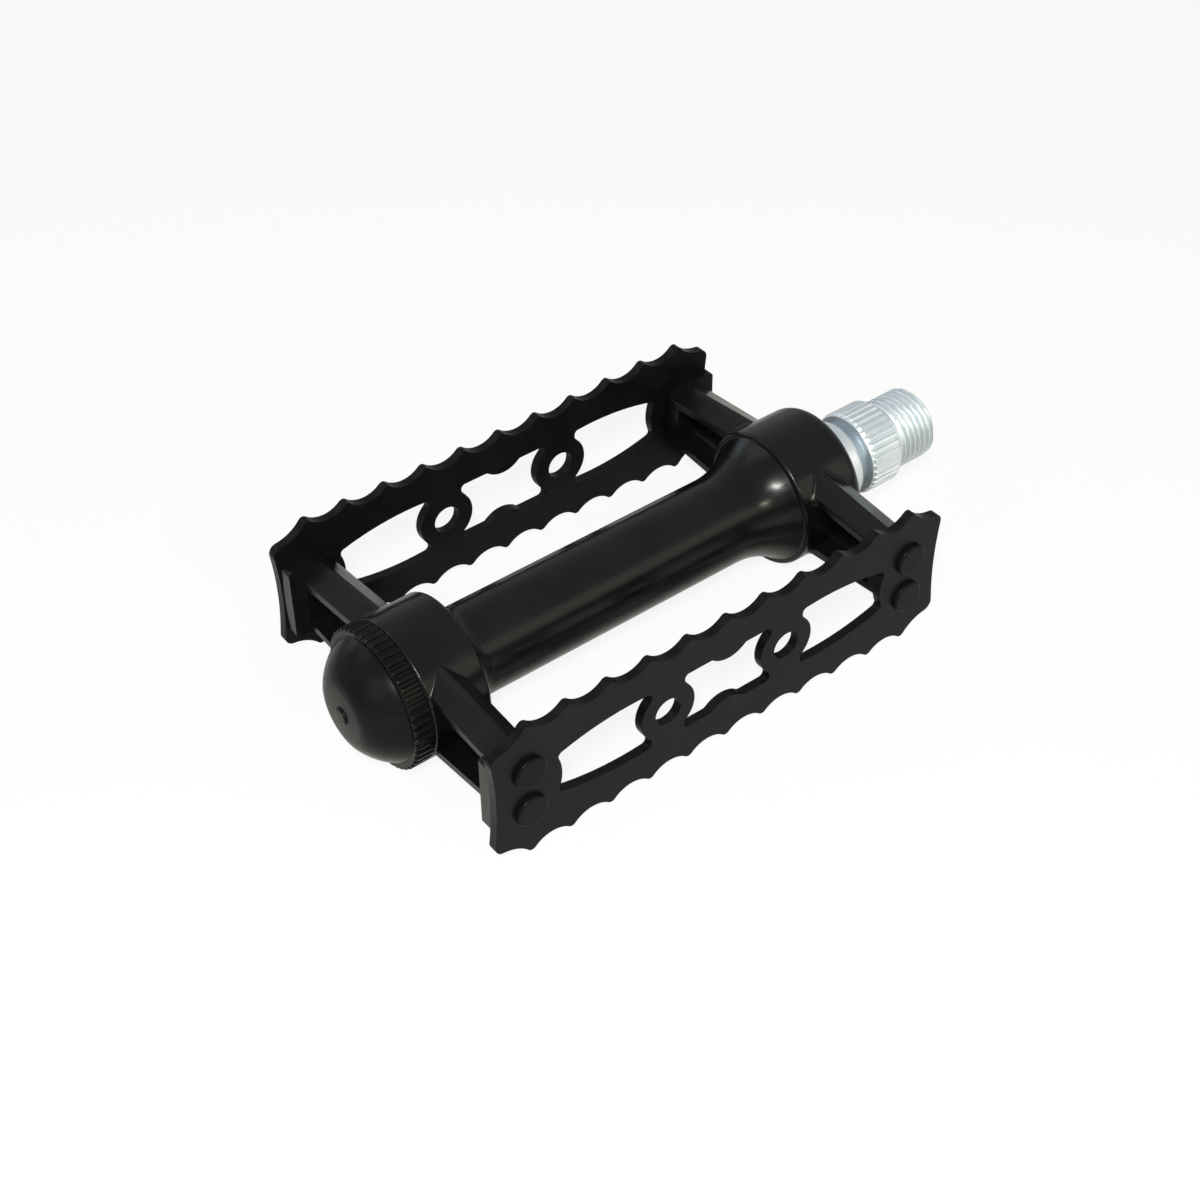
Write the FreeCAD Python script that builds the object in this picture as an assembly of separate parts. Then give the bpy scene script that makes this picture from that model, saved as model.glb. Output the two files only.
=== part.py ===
import FreeCAD, Part
import math
import os

from FreeCAD import Vector

# Touring pedal. Millimetres. The axle axis is X, the crank seat is the plane X = 0, Z is up.

# Overall layout along the axle
cage_centre_x = -65.9
plate_outer_y = 33.55
plate_t = 1.8

# Cage plate outline
tooth_pitch = 8.5
teeth_per_edge = 11
crest_mid_z = 14.2
crest_rise = 0.95
valley_r = 5.2
tip_r = 1.0
corner_x = 50.1
corner_z = 11.4
corner_valley_r = 7.5
corner_tip_r = 1.8
end_hollow = 0.9

# Cage plate windows
window_half_h = 6.3
window_end_half_h = 4.3
window_end_x = 36.8
window_end_bulge = 1.0
window_arc_rise = 1.0
window_corner_r = 0.9
ring_x = 13.3
ring_r = 5.8
ring_hole_r = 2.75
ring_neck_half = 3.6
lobe_r = 5.3
lobe_depth = 1.55

# Plate rivets
rivet_x = 42.5
rivet_z = 4.4
rivet_head_r = 3.15
rivet_head_h = 1.0
rivet_head_round = 0.45
rivet_shank_r = 1.9
rivet_depth = 3.2

# Pedal body
barrel_r = 8.6
boss_r = 13.5
boss_edge_round = 0.9
boss_lip_round = 0.6
outboard_boss_out_x = -47.2
outboard_boss_in_x = -35.3
outboard_neck_round = 3.9
bell_start_x = 25.5
bell_rim_x = 36.2
bell_rim_step = 1.0
bell_rim_round = 0.7
inboard_boss_out_x = 51.0
inboard_boss_edge_round = 2.5
arm_centre_x = 42.8
arm_w = 7.6
arm_root_y = 9.0
arm_end_y = 28.7
arm_ridge_root_z = 10.3
arm_ridge_end_z = 8.1
arm_shoulder_root_z = 7.0
arm_shoulder_end_z = 5.3
inboard_ridge_shift = 0.8
arm_edge_round = 0.6
arm_flange_t = 1.5
arm_web_t = 2.6
pocket_round = 1.0
pad_in_x = 41.2
pad_out_x = 49.0
pad_half_h = 7.6
pad_t = 3.0
pad_round = 0.8
inboard_root_round = 1.2
outboard_root_round = 0.4
body_bore_r = 6.6

# Ball bearings
ball_r = 3.969 / 2
ball_count = 12
ball_pitch_r = 8.1
race_clearance = 0.05
race_turn_deg = 80
cup_wall = 1.0
cup_rim_wall = 1.06
cup_outer_r = ball_pitch_r + ball_r + race_clearance + cup_rim_wall
cup_lip = 0.4
cup_len = 4.4
cup_seat_wall = 2.5

# Axle
axle_ring_r = 8.1
axle_ring_end_x = 56.3
axle_ring_round = 1.2
axle_neck_r = 6.8
collar_start_x = 58.3
collar_r = 8.4
collar_groove = 0.4
collar_root_r = collar_r - collar_groove
collar_spline_count = 36
collar_crest_share = 0.25
collar_chamfer = 0.5
thread_r = 14.288 / 2
thread_len = 10.2
thread_chamfer = 0.9
socket_flats = 6.0
socket_depth = 7.0
shaft_inboard_r = 5.5
shaft_outboard_r = 4.6
stub_r = 4.0
stub_end_x = -52.4
stub_chamfer = 0.5
key_w = 1.6
key_depth = 0.9

# Cone, keyed washer and lock nut
cone_flange_rise = 0.2
cone_flange_r = ball_pitch_r + cone_flange_rise
cone_len = 5.7
cone_nose = 1.4
cone_grip_r = 6.6
washer_t = 1.2
washer_r = 6.9
nut_flats = 12.0
nut_h = 4.0
nut_chamfer = 0.6
stub_clearance = 0.04
key_clearance = 0.08

# Dust cap
cap_rim_r = boss_r
cap_ridge_depth = 0.55
cap_rim_root_r = cap_rim_r - cap_ridge_depth
cap_rim_w = 3.8
cap_ridge_count = 50
cap_crest_share = 0.12
cap_rim_chamfer = 0.5
cap_step = 1.45
cap_dome_base_r = cap_rim_r - cap_step
cap_dome_h = 7.5
cap_shoulder_deg = 34
cap_shoulder_r = 5.0
cap_end_r = 70.0
cap_wall = 1.5
cap_spigot_len = 4.6
cap_spigot_wall = 1.7
cap_thread_clearance = 0.05
cap_nub_r = 1.7
cap_nub_h = 0.35
cap_nub_round = 0.2

# Dust seal
seal_step = 0.4
seal_outer_r = cup_outer_r + seal_step
seal_t = 1.7
seal_recess = 0.2
seal_gap = 0.4
seal_clearance = 0.08

X_AXIS = Vector(1, 0, 0)
Y_AXIS = Vector(0, 1, 0)
ORIGIN = Vector(0, 0, 0)


def at(x):
    """Row X of a station measured from the middle of the cage."""
    return cage_centre_x + x


def rounded_edges(corners):
    """Closed loop of straight lines through (u, v, radius) corners, each corner rounded by its radius."""
    starts = []
    ends = []
    mids = []
    count = len(corners)
    for i in range(count):
        u, v, radius = corners[i]
        before = Vector(corners[i - 1][0] - u, corners[i - 1][1] - v, 0)
        after = Vector(corners[(i + 1) % count][0] - u, corners[(i + 1) % count][1] - v, 0)
        here = Vector(u, v, 0)
        if radius == 0:
            starts.append(here)
            ends.append(here)
            mids.append(None)
            continue
        before.normalize()
        after.normalize()
        half = before.getAngle(after) / 2
        reach = radius / math.tan(half)
        bisector = before + after
        bisector.normalize()
        starts.append(here + before * reach)
        ends.append(here + after * reach)
        mids.append(here + bisector * (radius / math.sin(half) - radius))
    loop = []
    for i in range(count):
        if mids[i] is not None:
            loop.append((starts[i], mids[i], ends[i]))
        following = starts[(i + 1) % count]
        if (following - ends[i]).Length > 1e-6:
            loop.append((ends[i], following))
    return loop


def edge_of(points, place):
    """One edge of a loop, placed in space: two points make a line and three an arc."""
    placed = [place(p) for p in points]
    if len(placed) == 2:
        return Part.makeLine(placed[0], placed[1])
    return Part.Arc(placed[0], placed[1], placed[2]).toShape()


def face_of(loop, place):
    """Flat face inside a loop of lines and arcs."""
    wire = Part.Wire([edge_of(points, place) for points in loop])
    return Part.Face(wire)


def turned(corners):
    """Solid turned about the axle axis from (station, radius, rounding) corners."""
    face = face_of(rounded_edges(corners), lambda p: Vector(at(p.x), 0, p.y))
    return face.revolve(ORIGIN, X_AXIS, 360)


def turned_loop(loop):
    """Solid turned about the axle axis from a loop of lines and arcs in (station, radius)."""
    face = face_of(loop, lambda p: Vector(at(p.x), 0, p.y))
    return face.revolve(ORIGIN, X_AXIS, 360)


def rod(x0, x1, radius):
    """Round rod along the axle axis between two stations."""
    return Part.makeCylinder(radius, x1 - x0, Vector(at(x0), 0, 0), X_AXIS)


def prism(loop, y0, y1):
    """Solid drawn in the plate plane as (station, height) and reaching from y0 to y1."""
    face = face_of(loop, lambda p: Vector(at(p.x), y0, p.y))
    return face.extrude(Vector(0, y1 - y0, 0))


def polygon_bar(x0, x1, corners):
    """Bar along the axle axis with a straight-sided section given as (y, z) corners."""
    points = [Vector(at(x0), y, z) for y, z in corners]
    face = Part.Face(Part.makePolygon(points + [points[0]]))
    return face.extrude(Vector(x1 - x0, 0, 0))


def ridged_bar(x0, x1, root_r, crest_r, count, crest_share):
    """Bar along the axle axis whose rim has straight ridges; crest_share is half a crest over the step."""
    step = 2 * math.pi / count
    corners = []
    for i in range(count):
        foot = (crest_share + 0.5) / 2 + 0.04
        for part, radius in ((-foot, root_r), (-crest_share, crest_r), (crest_share, crest_r), (foot, root_r)):
            angle = (i + part) * step
            corners.append((radius * math.cos(angle), radius * math.sin(angle)))
    return polygon_bar(x0, x1, corners)


def hex_bar(x0, x1, flats):
    """Hexagonal bar along the axle axis."""
    radius = flats / math.sqrt(3)
    corners = [(radius * math.cos(i * math.pi / 3), radius * math.sin(i * math.pi / 3)) for i in range(6)]
    return polygon_bar(x0, x1, corners)


def rounded_vertical(solid, radius):
    """Every edge of the solid that runs along Y, rounded."""
    chosen = []
    for edge in solid.Edges:
        along = edge.Vertexes[-1].Point - edge.Vertexes[0].Point
        if abs(along.x) < 1e-6 and abs(along.z) < 1e-6 and abs(along.y) > 0.1:
            chosen.append(edge)
    return solid.makeFillet(radius, chosen)


# Cage plate: a closed chain of hollow arcs whose meeting points are rounded into teeth
def crest_points():
    """Tooth points round the plate, clockwise from the upper left corner, before rounding."""
    last = (teeth_per_edge - 1) / 2
    upper = []
    for i in range(teeth_per_edge):
        share = (i - last) / last
        upper.append(Vector((i - last) * tooth_pitch, crest_mid_z + crest_rise * share * share, 0))
    upper = [Vector(-corner_x, corner_z, 0)] + upper + [Vector(corner_x, corner_z, 0)]
    lower = [Vector(p.x, -p.y, 0) for p in reversed(upper)]
    return upper + lower


def hollow_centre(a, b, radius):
    """Centre, on the outer side, of the hollow arc through two neighbouring points."""
    chord = b - a
    outward = Vector(-chord.y, chord.x, 0)
    outward.normalize()
    return (a + b) * 0.5 + outward * math.sqrt(radius * radius - chord.Length * chord.Length / 4)


def plate_outline():
    """Loop of hollow arcs and rounded tooth tips."""
    points = crest_points()
    count = len(points)
    end_r = (corner_z * corner_z + end_hollow * end_hollow) / (2 * end_hollow)
    hollows = []
    for i in range(count):
        at_corner = abs(abs(points[i].x) - corner_x) < 1e-6
        to_corner = abs(abs(points[(i + 1) % count].x) - corner_x) < 1e-6
        radius = valley_r
        if at_corner or to_corner:
            radius = corner_valley_r
        if at_corner and to_corner:
            radius = end_r
        hollows.append((hollow_centre(points[i], points[(i + 1) % count], radius), radius))
    tips = []
    for i in range(count):
        corner = abs(abs(points[i].x) - corner_x) < 1e-6
        small = corner_tip_r if corner else tip_r
        a, ra = hollows[i - 1]
        b, rb = hollows[i]
        ra = ra + small
        rb = rb + small
        span = (b - a).Length
        along = (ra * ra - rb * rb + span * span) / (2 * span)
        off = math.sqrt(ra * ra - along * along)
        unit = (b - a) * (1 / span)
        inward = Vector(unit.y, -unit.x, 0)
        centre = a + unit * along + inward * off
        to_a = (a - centre) * (1 / ra)
        to_b = (b - centre) * (1 / rb)
        middle = to_a + to_b
        middle.normalize()
        tips.append((centre + to_a * small, centre + middle * small, centre + to_b * small))
    loop = []
    for i in range(count):
        loop.append(tips[i])
        begin = tips[i][2]
        finish = tips[(i + 1) % count][0]
        centre, radius = hollows[i]
        middle = (begin - centre) + (finish - centre)
        middle.normalize()
        loop.append((begin, centre + middle * radius, finish))
    return loop


def end_window(side, y0, y1):
    """Bullet-shaped window between a ring and the plate end; side is -1 or 1."""
    x0 = ring_x + ring_neck_half
    x1 = window_end_x
    ym = (window_half_h + window_end_half_h) / 2 + window_arc_rise
    xm = (x0 + x1) / 2
    loop = [
        (Vector(x0, -window_half_h, 0), Vector(x0, window_half_h, 0)),
        (Vector(x0, window_half_h, 0), Vector(xm, ym, 0), Vector(x1, window_end_half_h, 0)),
        (Vector(x1, window_end_half_h, 0), Vector(x1 - window_end_bulge, 0, 0), Vector(x1, -window_end_half_h, 0)),
        (Vector(x1, -window_end_half_h, 0), Vector(xm, -ym, 0), Vector(x0, -window_half_h, 0)),
    ]
    solid = prism(loop, y0, y1)
    solid = solid.cut(Part.makeCylinder(ring_r, y1 - y0, Vector(at(ring_x), y0, 0), Y_AXIS))
    solid = max(solid.Solids, key=lambda s: s.Volume)
    solid = rounded_vertical(solid, window_corner_r)
    if side < 0:
        solid = solid.mirror(Vector(at(0), 0, 0), X_AXIS)
    return solid


def middle_window(y0, y1):
    """Window between the two rings, pinched by a round lobe above and below."""
    x1 = ring_x - ring_neck_half
    loop = rounded_edges([(-x1, -window_half_h, 0), (x1, -window_half_h, 0),
                          (x1, window_half_h, 0), (-x1, window_half_h, 0)])
    solid = prism(loop, y0, y1)
    lobe_z = window_half_h - lobe_depth + lobe_r
    for x, z, radius in ((-ring_x, 0, ring_r), (ring_x, 0, ring_r), (0, lobe_z, lobe_r), (0, -lobe_z, lobe_r)):
        solid = solid.cut(Part.makeCylinder(radius, y1 - y0, Vector(at(x), y0, z), Y_AXIS))
    solid = max(solid.Solids, key=lambda s: s.Volume)
    return rounded_vertical(solid, window_corner_r)


def cage_plate(side):
    """Toothed cage plate on the -Y or +Y side."""
    y0 = plate_outer_y - plate_t
    y1 = plate_outer_y
    plate = prism(plate_outline(), y0, y1)
    margin = 1
    cuts = [end_window(-1, y0 - margin, y1 + margin), end_window(1, y0 - margin, y1 + margin)]
    cuts.append(middle_window(y0 - margin, y1 + margin))
    for x in (-ring_x, ring_x):
        cuts.append(Part.makeCylinder(ring_hole_r, plate_t + 2 * margin, Vector(at(x), y0 - margin, 0), Y_AXIS))
    for x in (-rivet_x, rivet_x):
        for z in (-rivet_z, rivet_z):
            hole = Part.makeCylinder(rivet_shank_r, plate_t + 2 * margin, Vector(at(x), y0 - margin, z), Y_AXIS)
            cuts.append(hole)
    plate = plate.cut(cuts)
    if side < 0:
        plate = plate.mirror(ORIGIN, Y_AXIS)
    return plate


def rivets():
    """Eight flat-headed rivets holding the plates to the body."""
    made = []
    for side in (-1, 1):
        outward = Vector(0, side, 0)
        for x in (-rivet_x, rivet_x):
            for z in (-rivet_z, rivet_z):
                seat = Vector(at(x), side * plate_outer_y, z)
                head = Part.makeCylinder(rivet_head_r, rivet_head_h, seat, outward)
                rim = [e for e in head.Edges if abs(e.BoundBox.YMin - e.BoundBox.YMax) < 1e-6
                       and abs(abs(e.BoundBox.YMin) - plate_outer_y - rivet_head_h) < 1e-6]
                head = head.makeFillet(rivet_head_round, rim)
                shank = Part.makeCylinder(rivet_shank_r, plate_t + rivet_depth, seat, outward * -1)
                made.append(head.fuse(shank).removeSplitter().Solids[0])
    return Part.makeCompound(made)


# Pedal body: turned barrel with two bosses, four channel arms and four plate pads
def body_turned():
    """Barrel, outboard boss and inboard bell, solid."""
    bell_top_r = boss_r - bell_rim_step
    rise = bell_top_r - barrel_r
    run = bell_rim_x - bell_start_x
    bell_r = (run * run + rise * rise) / (2 * rise)
    turn = math.asin(run / bell_r) / 2
    bell_mid = Vector(bell_start_x + bell_r * math.sin(turn), barrel_r + bell_r * (1 - math.cos(turn)), 0)
    corners = [
        (outboard_boss_out_x, 0, 0),
        (outboard_boss_out_x, boss_r, boss_lip_round),
        (outboard_boss_in_x, boss_r, boss_edge_round),
        (outboard_boss_in_x, barrel_r, outboard_neck_round),
        (bell_start_x, barrel_r, 0),
        (bell_rim_x, bell_top_r, 0),
        (bell_rim_x, boss_r, bell_rim_round),
        (inboard_boss_out_x, boss_r, inboard_boss_edge_round),
        (inboard_boss_out_x, 0, 0),
    ]
    loop = rounded_edges(corners)
    bell_a = Vector(bell_start_x, barrel_r, 0)
    bell_b = Vector(bell_rim_x, bell_top_r, 0)
    curved = []
    for points in loop:
        if (points[0] - bell_a).Length < 1e-6 and (points[-1] - bell_b).Length < 1e-6:
            curved.append((bell_a, bell_mid, bell_b))
        else:
            curved.append(points)
    return turned_loop(curved)


def arm_height(y, root_z, end_z):
    """Height of a straight arm edge at a distance y from the axle axis."""
    share = (y - arm_root_y) / (arm_end_y - arm_root_y)
    return root_z + share * (end_z - root_z)


def arm(end, side):
    """One tapered, gable-roofed arm with its plate pad; end and side are -1 or 1."""
    x0 = end * arm_centre_x - arm_w / 2
    x1 = x0 + arm_w
    ridge_x = (x0 + x1) / 2
    if end > 0:
        ridge_x = ridge_x - inboard_ridge_shift
    y_pad = plate_outer_y - plate_t
    sections = []
    for y in (arm_root_y / 2, y_pad - pad_t / 2):
        ridge = arm_height(y, arm_ridge_root_z, arm_ridge_end_z)
        shoulder = arm_height(y, arm_shoulder_root_z, arm_shoulder_end_z)
        outline = [(x0, shoulder), (ridge_x, ridge), (x1, shoulder), (x1, -shoulder), (ridge_x, -ridge), (x0, -shoulder)]
        points = [Vector(at(x), y, z) for x, z in outline]
        sections.append(Part.makePolygon(points + [points[0]]))
    solid = Part.makeLoft(sections, True, True)
    solid = solid.makeFillet(arm_edge_round, [e for e in solid.Edges if e.BoundBox.YLength > pad_t])
    pad_x = min(end * pad_in_x, end * pad_out_x)
    pad = Part.makeBox(pad_out_x - pad_in_x, pad_t, 2 * pad_half_h, Vector(at(pad_x), y_pad - pad_t, -pad_half_h))
    pad = pad.makeFillet(pad_round, [e for e in pad.Edges if e.BoundBox.YLength > pad_t - 1e-3])
    solid = solid.fuse(pad)
    if side < 0:
        solid = solid.mirror(ORIGIN, Y_AXIS)
    return solid


def arm_pocket(end, side):
    """Hollow of an arm, open towards the dust cap, tapered with the arm and bounded by the boss."""
    x0 = end * arm_centre_x - arm_w / 2
    x1 = x0 + arm_w - arm_web_t
    sections = []
    for y in (arm_root_y / 2, plate_outer_y - plate_t - pad_t - arm_flange_t):
        half = arm_height(y, arm_shoulder_root_z, arm_shoulder_end_z) - arm_flange_t
        loop = rounded_edges([(x0 - 1, -half, 0), (x1, -half, pocket_round), (x1, half, pocket_round),
                              (x0 - 1, half, 0)])
        sections.append(face_of(loop, lambda p: Vector(at(p.x), y, p.y)).OuterWire)
    solid = Part.makeLoft(sections, True, True).cut(rod(x0 - 2, x1 + 2, boss_r))
    solid = max(solid.Solids, key=lambda s: s.Volume)
    if side < 0:
        solid = solid.mirror(ORIGIN, Y_AXIS)
    return solid


def root_edges(solid, end):
    """Edges where the arms of one end leave the boss."""
    chosen = []
    low = at(end * arm_centre_x - arm_w / 2) - 0.01
    high = low + arm_w + 0.02
    for edge in solid.Edges:
        box = edge.BoundBox
        if box.XMin < low or box.XMax > high:
            continue
        points = edge.discretize(5)
        if max(abs(math.hypot(p.y, p.z) - boss_r) for p in points) < 1e-3:
            chosen.append(edge)
    return chosen


def cup_stations():
    """Inner end stations of the outboard and inboard cup seats."""
    ball_room = cup_wall + race_clearance + 2 * ball_r
    seal_in_x = inboard_boss_out_x - seal_recess - seal_t
    return outboard_boss_in_x - cup_seat_wall, seal_in_x - seal_gap - ball_room


def pedal_body():
    """Die-cast body with its bores."""
    out_seat, in_seat = cup_stations()
    solid = body_turned()
    solid = solid.fuse([arm(end, side) for end in (-1, 1) for side in (-1, 1)]).removeSplitter()
    solid = solid.makeFillet(inboard_root_round, root_edges(solid, 1))
    solid = solid.makeFillet(outboard_root_round, root_edges(solid, -1))
    solid = solid.cut([arm_pocket(end, side) for end in (-1, 1) for side in (-1, 1)])
    bores = [rod(outboard_boss_out_x - 1, inboard_boss_out_x + 1, body_bore_r)]
    bores.append(rod(outboard_boss_out_x - 1, out_seat, cup_outer_r))
    bores.append(rod(in_seat, inboard_boss_out_x + 1, cup_outer_r))
    bores.append(rod(inboard_boss_out_x - seal_t - seal_recess, inboard_boss_out_x + 1, seal_outer_r))
    for side in (-1, 1):
        for x in (-rivet_x, rivet_x):
            for z in (-rivet_z, rivet_z):
                seat = Vector(at(x), side * (plate_outer_y - plate_t + 1), z)
                bores.append(Part.makeCylinder(rivet_shank_r, rivet_depth + 1, seat, Vector(0, -side, 0)))
    return solid.cut(bores)


# Bearings: cup and cone races are hollow arcs round the balls
def ball_stations():
    """Ball centre stations, outboard and inboard."""
    out_seat, in_seat = cup_stations()
    reach = cup_wall + ball_r + race_clearance
    return out_seat - reach, in_seat + reach


def cup(end):
    """Pressed bearing cup; its race is a quarter arc on the side away from the mouth."""
    x_ball = ball_stations()[0 if end < 0 else 1]
    seat = cup_stations()[0 if end < 0 else 1]
    race = ball_r + race_clearance
    inner_r = ball_pitch_r + race
    rim = seat + end * cup_len
    floor_r = ball_pitch_r - cup_lip
    bend = race * math.sqrt(0.5)
    drop = math.sqrt(race * race - cup_lip * cup_lip)
    start = Vector(x_ball - end * drop, floor_r, 0)
    loop = [
        (start, Vector(x_ball - end * bend, ball_pitch_r + bend, 0), Vector(x_ball, inner_r, 0)),
        (Vector(x_ball, inner_r, 0), Vector(rim, inner_r, 0)),
        (Vector(rim, inner_r, 0), Vector(rim, cup_outer_r, 0)),
        (Vector(rim, cup_outer_r, 0), Vector(seat, cup_outer_r, 0)),
        (Vector(seat, cup_outer_r, 0), Vector(seat, floor_r, 0)),
        (Vector(seat, floor_r, 0), start),
    ]
    return turned_loop(loop)


def balls(end):
    """Ring of separate bearing balls."""
    x_ball = ball_stations()[0 if end < 0 else 1]
    made = []
    for i in range(ball_count):
        angle = 2 * math.pi * i / ball_count
        centre = Vector(at(x_ball), ball_pitch_r * math.cos(angle), ball_pitch_r * math.sin(angle))
        made.append(Part.makeSphere(ball_r, centre))
    return Part.makeCompound(made)


def race_arc(x_ball, end):
    """Inner race arc from below the ball to its outer side."""
    race = ball_r + race_clearance
    bend = race * math.sqrt(0.5)
    low = Vector(x_ball, ball_pitch_r - race, 0)
    middle = Vector(x_ball + end * bend, ball_pitch_r - bend, 0)
    turn = math.radians(race_turn_deg)
    high = Vector(x_ball + end * race * math.sin(turn), ball_pitch_r - race * math.cos(turn), 0)
    return low, middle, high


def adjusting_cone():
    """Outboard cone screwed on the axle stub."""
    x_ball = ball_stations()[0]
    low, middle, high = race_arc(x_ball, -1)
    bore = stub_r + stub_clearance
    nose_x = x_ball + cone_nose
    back_x = x_ball - cone_len
    flange_x = high.x - 1.2
    loop = [
        (Vector(nose_x, bore, 0), Vector(nose_x, low.y, 0)),
        (Vector(nose_x, low.y, 0), low),
        (low, middle, high),
        (high, Vector(high.x, cone_flange_r, 0)),
        (Vector(high.x, cone_flange_r, 0), Vector(flange_x, cone_flange_r, 0)),
        (Vector(flange_x, cone_flange_r, 0), Vector(flange_x, cone_grip_r, 0)),
        (Vector(flange_x, cone_grip_r, 0), Vector(back_x, cone_grip_r, 0)),
        (Vector(back_x, cone_grip_r, 0), Vector(back_x, bore, 0)),
        (Vector(back_x, bore, 0), Vector(nose_x, bore, 0)),
    ]
    return turned_loop(loop)


def cone_back_x():
    """Outer end station of the adjusting cone."""
    return ball_stations()[0] - cone_len


def keyed_washer():
    """Washer with an inner tab that rides in the axle's key groove."""
    x1 = cone_back_x()
    x0 = x1 - washer_t
    ring = rod(x0, x1, washer_r).cut(rod(x0 - 1, x1 + 1, stub_r + stub_clearance))
    tab_w = key_w - 2 * key_clearance
    tab_low = stub_r - key_depth + key_clearance
    tab = Part.makeBox(washer_t, tab_w, stub_r + 1 - tab_low, Vector(at(x0), -tab_w / 2, tab_low))
    return ring.fuse(tab).removeSplitter()


def lock_nut():
    """Hexagonal lock nut with chamfered corners."""
    x1 = cone_back_x() - washer_t
    x0 = x1 - nut_h
    corner_r = nut_flats / math.sqrt(3)
    blank = turned([(x0, 0, 0), (x0, corner_r - nut_chamfer, 0), (x0 + nut_chamfer / 2, corner_r + 0.01, 0),
                    (x1 - nut_chamfer / 2, corner_r + 0.01, 0), (x1, corner_r - nut_chamfer, 0), (x1, 0, 0)])
    nut = hex_bar(x0, x1, nut_flats).common(blank)
    return nut.cut(rod(x0 - 1, x1 + 1, stub_r + stub_clearance))


def axle():
    """Axle with its inner cone, ring, ridged collar, crank thread core and outboard stub."""
    x_ball = ball_stations()[1]
    low, middle, high = race_arc(x_ball, 1)
    seat_x = -cage_centre_x
    end_x = seat_x + thread_len
    nose_x = x_ball - cone_nose
    stub_in_x = ball_stations()[0] + cone_nose + 1.5
    ring_rim = axle_ring_end_x - axle_ring_round
    bend = axle_ring_round * (1 - math.sqrt(0.5))
    loop = [
        (Vector(stub_end_x, 0, 0), Vector(stub_end_x, stub_r - stub_chamfer, 0)),
        (Vector(stub_end_x, stub_r - stub_chamfer, 0), Vector(stub_end_x + stub_chamfer, stub_r, 0)),
        (Vector(stub_end_x + stub_chamfer, stub_r, 0), Vector(stub_in_x, stub_r, 0)),
        (Vector(stub_in_x, stub_r, 0), Vector(stub_in_x, shaft_outboard_r, 0)),
        (Vector(stub_in_x, shaft_outboard_r, 0), Vector(nose_x, shaft_inboard_r, 0)),
        (Vector(nose_x, shaft_inboard_r, 0), Vector(nose_x, low.y, 0)),
        (Vector(nose_x, low.y, 0), low),
        (low, middle, high),
        (high, Vector(high.x, axle_ring_r, 0)),
        (Vector(high.x, axle_ring_r, 0), Vector(ring_rim, axle_ring_r, 0)),
        (Vector(ring_rim, axle_ring_r, 0), Vector(axle_ring_end_x - bend, axle_ring_r - bend, 0),
         Vector(axle_ring_end_x, axle_ring_r - axle_ring_round, 0)),
        (Vector(axle_ring_end_x, axle_ring_r - axle_ring_round, 0), Vector(axle_ring_end_x, axle_neck_r, 0)),
        (Vector(axle_ring_end_x, axle_neck_r, 0), Vector(collar_start_x, axle_neck_r, 0)),
        (Vector(collar_start_x, axle_neck_r, 0), Vector(seat_x, axle_neck_r, 0)),
        (Vector(seat_x, axle_neck_r, 0), Vector(seat_x, thread_r, 0)),
        (Vector(seat_x, thread_r, 0), Vector(end_x - thread_chamfer, thread_r, 0)),
        (Vector(end_x - thread_chamfer, thread_r, 0), Vector(end_x, thread_r - thread_chamfer, 0)),
        (Vector(end_x, thread_r - thread_chamfer, 0), Vector(end_x, 0, 0)),
        (Vector(end_x, 0, 0), Vector(stub_end_x, 0, 0)),
    ]
    solid = turned_loop(loop)
    collar = ridged_bar(collar_start_x, seat_x, collar_root_r, collar_r, collar_spline_count, collar_crest_share)
    blank = turned([(collar_start_x, 0, 0), (collar_start_x, collar_r - collar_chamfer / 2, 0),
                    (collar_start_x + collar_chamfer / 2, collar_r + 0.01, 0),
                    (seat_x - collar_chamfer, collar_r + 0.01, 0), (seat_x, collar_r - collar_chamfer, 0),
                    (seat_x, 0, 0)])
    solid = solid.fuse(collar.common(blank))
    solid = solid.cut(hex_bar(end_x - socket_depth, end_x + 1, socket_flats))
    groove_end = cone_back_x() + 2
    groove = Part.makeBox(groove_end - stub_end_x + 1, key_w, key_depth + 1,
                          Vector(at(stub_end_x - 1), -key_w / 2, stub_r - key_depth))
    return solid.cut(groove)


def from_end(centre_x, centre_y, radius, turn):
    """Point of a circle, turned from the outboard direction of the axle axis."""
    return Vector(centre_x - radius * math.cos(turn), centre_y + radius * math.sin(turn), 0)


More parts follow.
